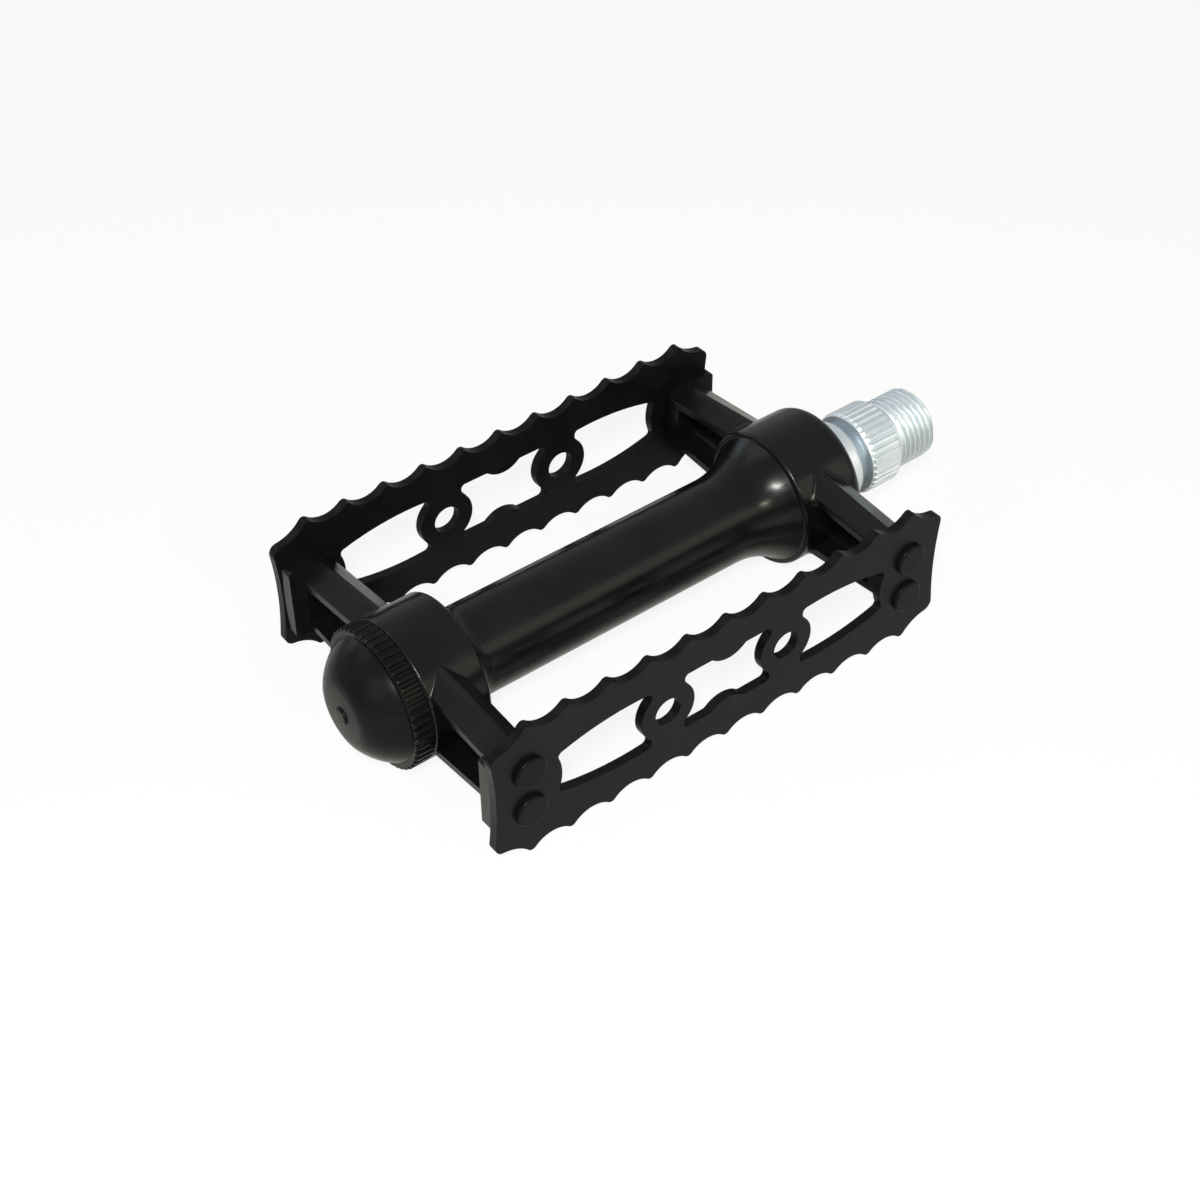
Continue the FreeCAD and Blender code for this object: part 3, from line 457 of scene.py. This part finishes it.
class PEDAL_OT_axle(bpy.types.Operator):
    """Turn the axle: shaft, ring and neck, the ridged collar and the crank thread"""

    bl_idname = "pedal.axle"
    bl_label = "Axle"

    def execute(self, context):
        size = context.scene.pedal_axle
        colours = context.scene.pedal_colours
        # Bright zinc plate on turned steel: a cool white metal whose fine tool rings blur what it mirrors
        zinc = turned_metal("bright_zinc_plate", colours.zinc, colours.zinc_tint, roughness=0.48,
                            line_mm=0.22, line_um=1.5)
        # Painted shade on the zinc in the narrow neck groove: a darker, greyer zinc colour stands in for the
        # shade that falls in the groove
        groove_shade = turned_metal("painted_shade_groove_zinc", colours.painted_shade_zinc, colours.painted_shade_zinc, roughness=0.5,
                            line_mm=0.22, line_um=1.5)
        for piece in (self.shaft(size), self.collar(size), self.thread(size)):
            dress(piece, zinc)
            if piece.name == "axle_shaft":
                self.paint_neck_shade(piece, groove_shade, size)
            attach(piece, "axle")
            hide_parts("axle")
        return {"FINISHED"}

    def shaft(self, size):
        """Outline turned about the axis: stub, tapered shaft, race arc of the inner cone, rounded ring and
        neck; over the key groove the radius is cut down to a flat."""
        ball = Vector(((inner_ball_low.x + inner_ball_high.x) / 2, inner_ball_high.y))
        ball_radius = (inner_ball_high.x - inner_ball_low.x) / 2
        ball.y -= ball_radius
        race = ball_radius + size.race_gap
        outer_ball = (outer_ball_low.x + outer_ball_high.x) / 2
        stub_in = outer_ball + size.stub_reach
        nose = ball.x - size.nose_reach
        low = axle_low.x
        front = rounded([
            (low, FAN_RADIUS, 0), (low, size.stub_radius, size.stub_round), (stub_in, size.stub_radius, 0),
            (stub_in, size.shaft_start, size.shoulder_round), (nose, size.shaft_radius, 0),
            (nose, ball.y - race, size.shoulder_round), (ball.x, ball.y - race, 0)])
        cone = arc(ball, race, -math.pi / 2, -math.pi / 2 + size.race_turn, 12)[1:]
        neck_end = size.collar_start + size.neck_overlap
        back = rounded([
            tuple(cone[-1]) + (0,), (cone[-1][0], size.ring_radius, size.ring_face_round),
            (size.ring_end, size.ring_radius, size.ring_round),
            (size.ring_end, size.neck_radius, size.neck_round),
            (neck_end, size.neck_radius, 0), (neck_end, CORE_RADIUS, 0)], 10)[1:]
        outline = np.vstack([front, cone, back])
        angle = np.linspace(0, 2 * math.pi, SHAFT_COLUMNS, endpoint=False)
        groove = (size.stub_radius - size.key_depth) / np.maximum(np.sin(angle), 1e-3)
        keyed = (np.abs(np.cos(angle)) * size.stub_radius < size.key_half_width) & (np.sin(angle) > 0)
        out = np.repeat(outline[:, 1:], angle.size, axis=1)
        on_stub = (outline[:, 0] < outer_ball - size.key_reach)[:, None]
        out = np.where(on_stub & keyed, np.minimum(out, groove), out)
        return turned_piece("axle_shaft", outline[:, :1], out, angle)

    def paint_neck_shade(self, piece, groove_shade, size):
        """Gives the painted-shade zinc to the faces of the neck, those whose middle lies past the ring's
        end, so the groove is darkened where shade falls.
        """
        faces = piece.data.polygons
        piece.data.materials.append(groove_shade)
        middle = np.empty(3 * len(faces))
        faces.foreach_get("center", middle)
        in_neck = middle[::3] > size.ring_end - size.neck_shade_start
        faces.foreach_set("material_index", in_neck.astype(np.int32))

    def collar(self, size):
        """Ring whose radius follows the ridge wave; the crests rise from a plain edge at the groove and are
        cut down by the chamfer at the seat."""
        seat = 0.0
        start, crest, groove = size.collar_start, size.collar_radius, size.collar_groove
        root = crest - groove
        lead, chamfer = np.array(COLLAR_LEAD), np.array(COLLAR_CHAMFER) * size.collar_chamfer
        straight = np.linspace(start + COLLAR_LEAD_GAP, seat - COLLAR_SEAT_GAP, COLLAR_ROWS)
        along = np.concatenate([[start], start + lead[:, 0] * MM, straight, seat - chamfer[:, 0], [seat]])
        limit = np.concatenate([[CORE_RADIUS], root + groove * lead[:, 1], np.full(straight.size, crest),
                                crest - chamfer[:, 1], [CORE_RADIUS]])
        angle = np.linspace(0, 2 * math.pi, size.collar_ridges * COLLAR_COLUMNS, endpoint=False)
        wave = root + groove * ridge_wave(angle, size.collar_ridges, COLLAR_CREST, COLLAR_ROOT)
        out = np.minimum(wave[None], limit[:, None])
        return turned_piece("axle_collar", along[:, None], out, angle)

    def thread(self, size):
        """Cylinder cut by a sixty degree helical groove: the depth follows along / pitch - angle / turn, and
        fades in after the relief; its end is chamfered and holds a hexagon socket."""
        end = axle_high.x
        radius, pitch, relief = size.thread_radius, size.thread_pitch, size.thread_relief
        angle = np.linspace(0, 2 * math.pi, THREAD_COLUMNS, endpoint=False)
        fine = relief - THREAD_EARLY - THREAD_ROW_GAP
        body = np.concatenate([np.linspace(-THREAD_INSET, fine - THREAD_ROW_GAP, RELIEF_ROWS),
                               np.linspace(fine, end - HAIR, THREAD_ROWS)])
        phase = body[:, None] / pitch - angle[None] / (2 * math.pi)
        share = np.abs((phase + 0.5) % 1.0 - 0.5)
        cut = np.clip((share - THREAD_CREST) / (THREAD_ROOT - THREAD_CREST), 0, 1)
        fade = np.clip((body - relief + THREAD_EARLY) / (THREAD_FADE * pitch), 0, 1)[:, None]
        out = radius - size.relief_depth * (1 - fade) - THREAD_DEPTH * pitch * cut * fade
        limit = np.minimum(radius, radius - size.thread_chamfer + (end - body))
        out = np.minimum(out, limit[:, None])
        hexagon = size.socket_flats / 2 / np.cos(angle % (math.pi / 3) - math.pi / 6)
        face = radius - size.thread_chamfer - END_FACE_INSET
        rows = np.vstack([
            np.full_like(angle, CORE_RADIUS), out, np.full_like(angle, face), hexagon + size.socket_chamfer,
            hexagon, hexagon, np.full_like(angle, FAN_RADIUS)])
        floor = end - size.socket_depth
        along = np.concatenate([
            body[:1], body, [end, end, end - size.socket_chamfer, floor + size.socket_point, floor]])
        return turned_piece("axle_thread", along[:, None], rows, angle)


class PEDAL_OT_dust_cap(bpy.types.Operator):
    """Mould the domed dust cap with its ridged rim"""

    bl_idname = "pedal.dust_cap"
    bl_label = "Dust cap"

    def execute(self, context):
        colours = context.scene.pedal_colours
        piece = self.cap(context.scene.pedal_cap)
        # Black moulded plastic: a smooth satin skin with a soft wide gloss and hardly any grain
        plastic = black_coat("black_moulded_plastic", colours.cap, roughness=0.26, level=0.085, lump_mm=2.2,
                             lump_um=3.0, grit_mm=0.35, grit_um=0.6)
        dress(piece, plastic)
        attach(piece, "pedal")
        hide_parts("dust_cap")
        return {"FINISHED"}

    def cap(self, size):
        """Outline turned about the axis: gate mark, end, shoulder and flank arcs that touch, flat step, rim,
        spigot and hollow; on the rim the radius follows the ridge wave, whose height rises along a quarter
        circle from the front face."""
        back = cap_high.x - size.spigot_length
        front = back - size.rim_width
        base = size.rim_radius - size.step
        root = size.rim_radius - size.ridge_depth
        dome = (size.dome_height ** 2 + base ** 2) / (2 * size.dome_height)
        middle = (front - size.dome_height + dome, 0.0)
        bend = dome - size.shoulder_radius
        shoulder = (middle[0] - bend * math.cos(size.shoulder_angle), bend * math.sin(size.shoulder_angle))
        reach = size.end_radius - size.shoulder_radius
        tilt = math.asin(shoulder[1] / reach)
        end = (shoulder[0] + reach * math.cos(tilt), 0.0)
        apex = end[0] - size.end_radius
        top = apex - size.nub_height
        mark = math.asin((size.nub_radius + size.nub_foot) / size.end_radius)
        foot = math.asin(base / dome)
        nub = rounded([
            (top, NUB_FAN_RADIUS, 0), (top, size.nub_radius, size.nub_round), (apex, size.nub_radius, 0)], 5)
        plain = np.vstack([
            nub,
            arc(end, size.end_radius, math.pi - mark, math.pi - tilt, 10),
            arc(shoulder, size.shoulder_radius, math.pi - tilt, math.pi - size.shoulder_angle, 14)[1:],
            arc(middle, dome, math.pi - size.shoulder_angle, math.pi - foot, 22)[1:],
            [(front, base + HAIR), (front, root - size.rim_sink)]])
        hollow = size.spigot_radius - size.spigot_wall
        inside = dome - size.wall
        lid = math.acos((middle[0] - apex - size.wall) / inside)
        vault = arc(middle, inside, math.pi - math.asin(hollow / inside), math.pi - lid, 10)
        spigot = rounded([
            (back, root - size.rim_sink, 0), (back, size.spigot_radius, 0),
            (cap_high.x, size.spigot_radius, size.spigot_round), (cap_high.x, hollow, size.hollow_round),
            tuple(vault[0]) + (0,)], 4)
        inner_wall = np.vstack([spigot, vault[1:], [(apex + size.wall, FAN_RADIUS)]])
        angle = np.linspace(0, 2 * math.pi, size.ridges * CAP_COLUMNS, endpoint=False)
        wave = ridge_wave(angle, size.ridges, CAP_CREST, CAP_ROOT)
        quarter = np.linspace(0, math.pi / 2, 7)
        rear = np.array(RIM_BACK)
        rim_along = np.concatenate([
            front + size.ridge_round * (1 - np.cos(quarter)),
            np.linspace(front + RIM_LEAD_GAP, back - RIM_BACK_GAP, RIM_ROWS), back - rear[:, 0] * MM])
        rim_height = np.concatenate([np.sin(quarter), np.ones(RIM_ROWS), rear[:, 1]])
        rim_out = root + size.ridge_depth * wave[None] * rim_height[:, None]
        along = np.concatenate([plain[:, 0], rim_along, inner_wall[:, 0]])
        out = np.vstack([np.repeat(plain[:, 1:], angle.size, axis=1), rim_out,
                         np.repeat(inner_wall[:, 1:], angle.size, axis=1)])
        return turned_piece("dust_cap_moulding", along[:, None], out, angle)


class PEDAL_OT_casting(bpy.types.Operator):
    """Paint the cast body"""

    bl_idname = "pedal.casting"
    bl_label = "Cast body"

    def execute(self, context):
        colours = context.scene.pedal_colours
        # Satin black paint over a die casting: smooth, with soft orange peel and clear highlights
        paint = black_coat("satin_black_paint", colours.casting, roughness=0.22, level=0.18, lump_mm=1.6,
                           lump_um=3.0, grit_mm=0.3, grit_um=0.4)
        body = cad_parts["pedal_body"]
        soften(body, context.scene.pedal_edges.casting)
        dress(body, paint)
        return {"FINISHED"}


class PEDAL_OT_plates(bpy.types.Operator):
    """Coat the two cage plates and their rivets"""

    bl_idname = "pedal.plates"
    bl_label = "Cage plates and rivets"

    def execute(self, context):
        edges = context.scene.pedal_edges
        colours = context.scene.pedal_colours
        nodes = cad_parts
        # Black coat on pressed sheet: slightly grained and more matt than the casting
        coat = black_coat("black_coated_sheet", colours.plate, roughness=0.34, level=0.085, lump_mm=1.2,
                          lump_um=3.0, grit_mm=0.25, grit_um=1.0)
        for name in ("front_cage_plate", "rear_cage_plate"):
            soften(nodes[name], edges.plate)
            dress(nodes[name], coat)
        # Blackened rivet steel: pressed heads, a little smoother than the sheet
        steel = black_coat("blackened_rivet_steel", colours.rivet, roughness=0.3, level=0.065, lump_mm=0.9,
                           lump_um=3.0, grit_mm=0.25, grit_um=1.0)
        soften(nodes["plate_rivets"], edges.small)
        dress(nodes["plate_rivets"], steel)
        return {"FINISHED"}


class PEDAL_OT_bearings(bpy.types.Operator):
    """Finish the cups, cones, balls, washer, nut and seal inside the body"""

    bl_idname = "pedal.bearings"
    bl_label = "Bearings and seal"

    def execute(self, context):
        colours = context.scene.pedal_colours
        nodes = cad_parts
        # Ground bearing steel: grey, with very fine rings from the wheel
        race = turned_metal("ground_race_steel", colours.steel, colours.steel, roughness=0.3, line_mm=0.15,
                            line_um=1.0)
        for name in ("outboard_cup", "inboard_cup", "adjusting_cone"):
            dress(nodes[name], race)
        # Polished ball steel: mirror bright with hardly any lines
        ball = turned_metal("polished_ball_steel", colours.ball, colours.ball, roughness=0.12, line_mm=0.4,
                            line_um=0.2)
        for name in ("outboard_balls", "inboard_balls"):
            dress(nodes[name], ball)
        # Zinc plated steel: the axle's colour on smoother small parts, from a barrel bath
        hardware = turned_metal("barrel_zinc_plate", colours.zinc, colours.zinc_tint, roughness=0.36,
                                line_mm=0.3, line_um=1.5)
        for name in ("keyed_washer", "lock_nut"):
            dress(nodes[name], hardware)
        # Moulded rubber: matt and dark with a fine mould grain
        rubber = black_coat("black_seal_rubber", colours.rubber, roughness=0.7, level=0.25, lump_mm=1.5,
                            lump_um=6.0, grit_mm=0.3, grit_um=4.0)
        dress(nodes["dust_seal"], rubber)
        return {"FINISHED"}


class PEDAL_OT_stage(bpy.types.Operator):
    """Set up the floor, the room light, the lamps and the camera"""

    bl_idname = "pedal.stage"
    bl_label = "Studio"

    def execute(self, context):
        scene = context.scene
        size = scene.pedal_stage
        self.floor(scene, size)
        self.room(scene, size)
        middle = (cad_box[0] + cad_box[1]) / 2
        for name, way, distance, width, height, light, tint in LAMPS:
            self.lamp(scene, middle, name, way, distance, width, height, getattr(size, light), tint)
        self.camera(scene, size)
        scene.view_settings.view_transform = "Standard"
        return {"FINISHED"}

    def floor(self, scene, size):
        """Flat grid under the pedal: x and y run evenly over it and z is the lowest point of the solids."""
        reach = np.linspace(-FLOOR_REACH, FLOOR_REACH, FLOOR_LINES)
        x, y = np.meshgrid(reach, reach)
        points = np.stack([x, y, np.full_like(x, cad_box[0].z)], axis=-1).reshape(-1, 3)
        index = np.arange(x.size).reshape(x.shape)
        faces = np.stack([index[:-1, :-1], index[:-1, 1:], index[1:, 1:], index[1:, :-1]], axis=-1)
        mesh = bpy.data.meshes.new("studio_floor")
        mesh.from_pydata(points.tolist(), [], faces.reshape(-1, 4).tolist())
        floor = bpy.data.objects.new("studio_floor", mesh)
        scene.collection.objects.link(floor)
        # White studio paper: near white with a soft shadow to the camera, and the lit paper with its shadow
        # in what the coats and the zinc mirror
        material = bpy.data.materials.new("white_studio_paper")
        material.use_nodes = True
        tree = material.node_tree
        tree.nodes.clear()
        path = add(tree, "ShaderNodeLightPath", {}).outputs
        mirrored = add(tree, "ShaderNodeMath", {0: path["Is Glossy Ray"], 1: path["Is Transmission Ray"]},
                       operation="MAXIMUM").outputs[0]
        seen = add(tree, "ShaderNodeMath", {0: path["Is Camera Ray"], 1: mirrored},
                   operation="MAXIMUM").outputs[0]
        share = add(tree, "ShaderNodeMath", {0: path["Is Camera Ray"], 1: size.paper_glow},
                    operation="MULTIPLY").outputs[0]
        shade = add(tree, "ShaderNodeMix", {"Factor": seen, "A": size.paper_bounce, "B": size.paper},
                    data_type="RGBA")
        paper = add(tree, "ShaderNodeBsdfDiffuse", {"Color": shade.outputs["Result"]})
        glow = add(tree, "ShaderNodeEmission", {"Color": WHITE, "Strength": 1.0})
        mixed = add(tree, "ShaderNodeMixShader", {0: share, 1: paper.outputs[0], 2: glow.outputs[0]})
        add(tree, "ShaderNodeOutputMaterial", {"Surface": mixed.outputs[0]})
        dress(floor, material)

    def room(self, scene, size):
        """Room light: near white to the camera, a little dimmer in glossy surfaces and dim for the rest, so
        the lamps shape the pedal."""
        world = bpy.data.worlds.new("pale_room")
        world.use_nodes = True
        scene.world = world
        tree = world.node_tree
        tree.nodes.clear()
        path = add(tree, "ShaderNodeLightPath", {}).outputs
        mirrored = add(tree, "ShaderNodeMath", {0: path["Is Glossy Ray"], 1: path["Is Transmission Ray"]},
                       operation="MAXIMUM").outputs[0]
        matt = add(tree, "ShaderNodeBackground", {"Color": WHITE, "Strength": size.room_light})
        gloss = add(tree, "ShaderNodeBackground", {"Color": size.room_tint, "Strength": size.room_gloss})
        white = add(tree, "ShaderNodeBackground", {"Color": WHITE, "Strength": size.room_white})
        lit = add(tree, "ShaderNodeMixShader", {0: mirrored, 1: matt.outputs[0], 2: gloss.outputs[0]})
        mixed = add(tree, "ShaderNodeMixShader", {
            0: path["Is Camera Ray"], 1: lit.outputs[0], 2: white.outputs[0]})
        add(tree, "ShaderNodeOutputWorld", {"Surface": mixed.outputs[0]})

    def lamp(self, scene, middle, name, way, distance, width, height, radiance, tint):
        """Rectangular lamp aimed at the pedal; its power is radiance times pi times its area."""
        data = bpy.data.lights.new(name, "AREA")
        data.shape = "RECTANGLE"
        data.size = width
        data.size_y = height
        data.energy = radiance * math.pi * width * height
        data.color = linear(tint)[:3]
        lamp = bpy.data.objects.new(name, data)
        way = Vector(way).normalized()
        lamp.location = middle + way * distance
        lamp.rotation_euler = (-way).to_track_quat("-Z", "Y").to_euler()
        scene.collection.objects.link(lamp)

    def camera(self, scene, size):
        """Camera whose right and up are the level ones, turned about the view by the roll."""
        stand = Vector(size.camera_place)
        forward = (Vector(size.camera_aim) - stand).normalized()
        level_right = forward.cross(Vector((0, 0, 1))).normalized()
        level_up = level_right.cross(forward)
        right = level_right * math.cos(size.camera_roll) + level_up * math.sin(size.camera_roll)
        up = right.cross(forward)
        data = bpy.data.cameras.new("studio_camera")
        data.lens = size.lens
        data.sensor_width = 36.0
        data.clip_start = 0.01
        data.clip_end = 50.0
        camera = bpy.data.objects.new("studio_camera", data)
        camera.matrix_world = Matrix.Translation(stand) @ Matrix((right, up, -forward)).transposed().to_4x4()
        scene.collection.objects.link(camera)
        scene.camera = camera


class PEDAL_PT_panel(bpy.types.Panel):
    """Sidebar list of the pedal's pieces"""

    bl_idname = "PEDAL_PT_panel"
    bl_label = "Touring pedal"
    bl_space_type = "VIEW_3D"
    bl_region_type = "UI"
    bl_category = "Pedal"

    def draw(self, context):
        for operator in OPERATORS:
            self.layout.operator(operator.bl_idname)


GROUPS = {
    "pedal_axle": AxleSizes, "pedal_cap": CapSizes, "pedal_edges": EdgeSizes, "pedal_colours": FinishColours,
    "pedal_stage": StageSizes}
OPERATORS = (
    PEDAL_OT_axle, PEDAL_OT_dust_cap, PEDAL_OT_casting, PEDAL_OT_plates, PEDAL_OT_bearings, PEDAL_OT_stage)


def register():
    """Registers the classes and hangs the size groups on the scene."""
    for group in (*GROUPS.values(), *OPERATORS, PEDAL_PT_panel):
        bpy.utils.register_class(group)
    for name, group in GROUPS.items():
        setattr(bpy.types.Scene, name, bpy.props.PointerProperty(type=group))


def unregister():
    """Takes the size groups off the scene and unregisters the classes."""
    for name in GROUPS:
        delattr(bpy.types.Scene, name)
    for group in reversed((*GROUPS.values(), *OPERATORS, PEDAL_PT_panel)):
        bpy.utils.unregister_class(group)


def main():
    """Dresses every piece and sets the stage."""
    register()
    bpy.ops.pedal.axle()
    bpy.ops.pedal.dust_cap()
    bpy.ops.pedal.casting()
    bpy.ops.pedal.plates()
    bpy.ops.pedal.bearings()
    bpy.ops.pedal.stage()
    bpy.context.view_layer.update()


if __name__ == "__main__":
    main()
